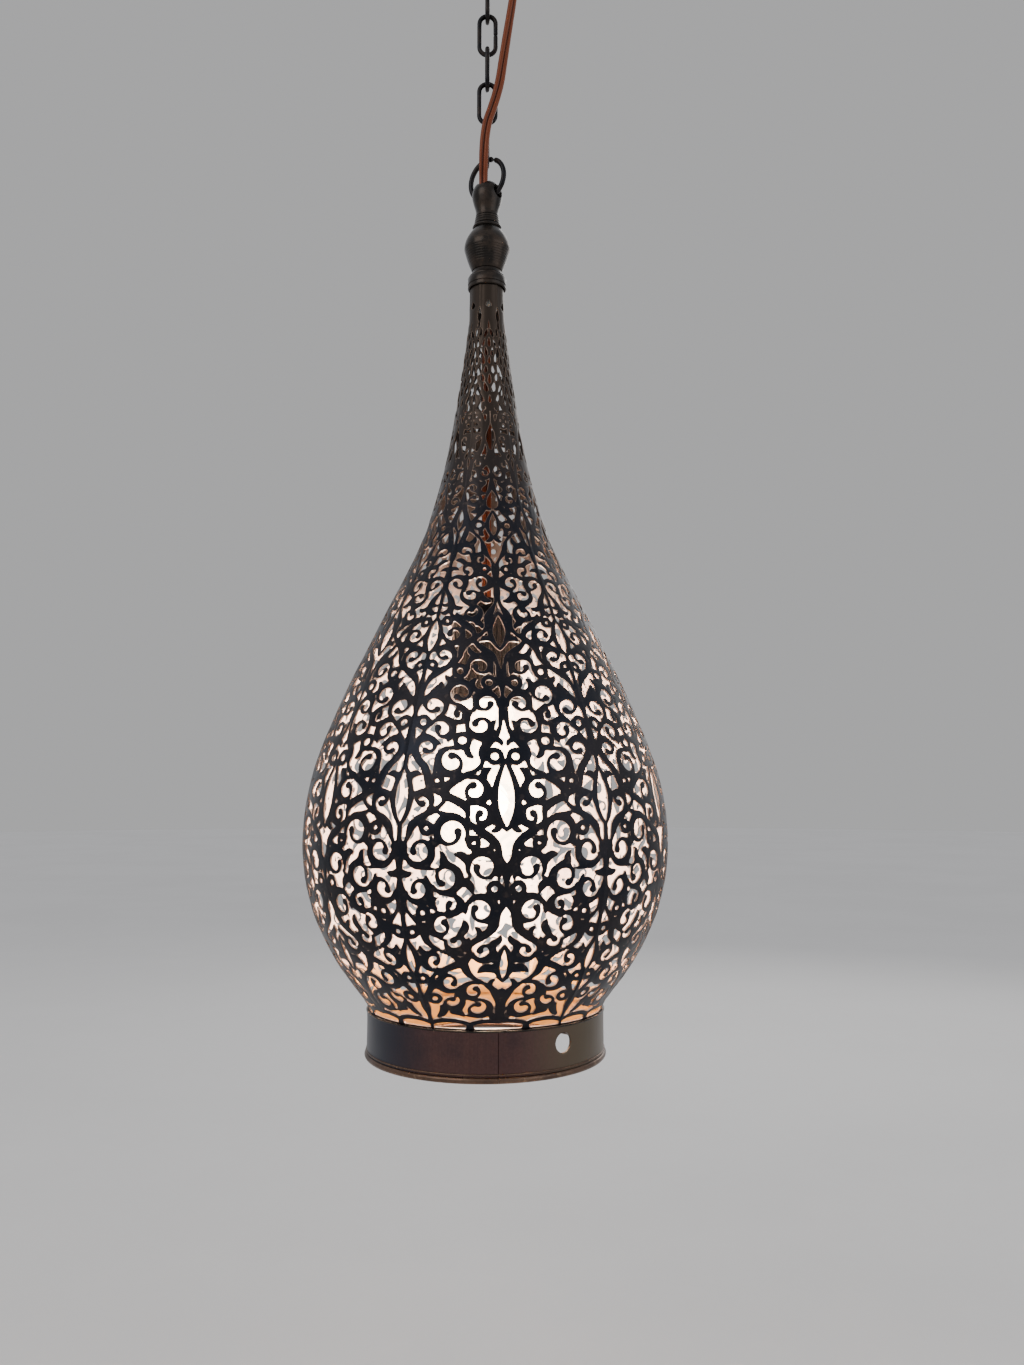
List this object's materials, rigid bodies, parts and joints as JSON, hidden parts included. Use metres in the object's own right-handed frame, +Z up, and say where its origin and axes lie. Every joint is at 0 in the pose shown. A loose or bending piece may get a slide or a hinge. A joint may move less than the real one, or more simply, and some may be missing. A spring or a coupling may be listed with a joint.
{
  "type": "hanging pierced metal lantern",
  "caption": "Drop-shaped pierced brass lantern on a chain with a turned finial, an open foot band, an inner lamp on flat copper flex and a ceiling cup.",
  "frame": {"origin": "on the ceiling plane, midway between the two ceiling screw slots and above the middle of the chain", "axes": "+Z up, out of the strap's feet into the ceiling; +X along the strap; -Y is the side seen in front"},
  "size_m": [0.1796, 0.1796, 0.6381],
  "materials": {
    "antique_bronze": "dark antique bronze patina over brass sheet, satin, worn to bare brass on the cut edges; light unpolished brass inside",
    "turned_bronze": "turned brass, dark antique bronze patina, satin",
    "band_bronze": "brushed brass band, warm brown bronze lacquer, satin",
    "chain_bronze": "steel wire with a dark antique bronze plating",
    "canopy_bronze": "dark bronze lacquer, satin",
    "zinc_steel": "bright zinc plating",
    "plain_brass": "plain turned brass",
    "flex_copper": "clear amber plastic over two copper cores",
    "black_bakelite": "black moulded plastic",
    "white_nylon": "white nylon",
    "lamp_ceramic": "unglazed white ceramic",
    "bulb_glass": "clear blown glass",
    "bulb_metal": "rolled aluminium screw cap",
    "black_glass": "black glass insulator",
    "filament": "glowing wire, warm white"
  },
  "bodies": {
    "ceiling": {"mounting_strap": "zinc_steel", "eye_bolt": "chain_bronze", "strap_nuts": "zinc_steel", "canopy": "canopy_bronze", "cup_nut": "canopy_bronze", "canopy_grip": "black_bakelite", "terminal_block": "white_nylon", "terminal_screws": "plain_brass", "canopy_flex": "flex_copper", "flex_upper": "flex_copper"},
    "upper_chain": {"chain_link_1": "chain_bronze", "chain_link_2": "chain_bronze", "chain_link_3": "chain_bronze", "flex_middle": "flex_copper"},
    "lower_chain": {"chain_link_4": "chain_bronze", "chain_link_5": "chain_bronze", "chain_link_6": "chain_bronze", "chain_link_7": "chain_bronze", "flex_lower": "flex_copper"},
    "ring": {"hanging_ring": "chain_bronze", "flex_entry": "flex_copper"},
    "lantern": {"finial_post": "turned_bronze", "finial_ball": "turned_bronze", "neck_collar": "turned_bronze", "threaded_tube": "plain_brass", "neck_plate": "plain_brass", "plate_washer": "zinc_steel", "plate_nut": "zinc_steel", "cord_grip": "white_nylon", "tube_flex": "flex_copper", "shell_gore_1": "antique_bronze", "shell_gore_2": "antique_bronze", "shell_gore_3": "antique_bronze", "shell_gore_4": "antique_bronze", "shell_gore_5": "antique_bronze", "shell_gore_6": "antique_bronze", "foot_band": "band_bronze", "rolled_edge": "band_bronze", "edge_wire": "zinc_steel"},
    "lampholder": {"inner_flex": "flex_copper", "holder_cap": "black_bakelite", "holder_body": "black_bakelite", "holder_insert": "lamp_ceramic", "holder_thread": "plain_brass", "holder_contact": "plain_brass", "holder_screw": "zinc_steel"},
    "bulb": {"bulb_cap": "bulb_metal", "bulb_insulator": "black_glass", "bulb_contact": "bulb_metal", "bulb_glass": "bulb_glass", "bulb_stem": "bulb_glass", "bulb_filament": "filament"}
  },
  "joints": [
    {"name": "upper_chain_swing", "type": "hinge", "parent": "ceiling", "child": "upper_chain", "pos_m": [0, 0, -0.046], "axis": [1, 0, 0], "range_deg": [-30, 30], "deforming": ["flex_upper"]},
    {"name": "lower_chain_swing", "type": "hinge", "parent": "upper_chain", "child": "lower_chain", "pos_m": [0, 0, -0.1027], "axis": [0, 1, 0], "range_deg": [-30, 30], "deforming": ["flex_middle"]},
    {"name": "ring_swing", "type": "hinge", "parent": "lower_chain", "child": "ring", "pos_m": [0, 0, -0.1832], "axis": [0.5736, 0.8192, 0], "range_deg": [-20, 20], "deforming": ["flex_lower"]},
    {"name": "lantern_swing", "type": "hinge", "parent": "ring", "child": "lantern", "pos_m": [0, 0, -0.1991], "axis": [0.8192, -0.5736, 0], "range_deg": [-30, 30], "deforming": ["flex_entry"]},
    {"name": "lampholder_swing", "type": "hinge", "parent": "lantern", "child": "lampholder", "pos_m": [0, 0, -0.2621], "axis": [0, 1, 0], "range_deg": [-10, 10]},
    {"name": "bulb_removal", "type": "slide", "parent": "lampholder", "child": "bulb", "axis": [0, 0, -1], "range_m": [0, 0.03]}
  ]
}
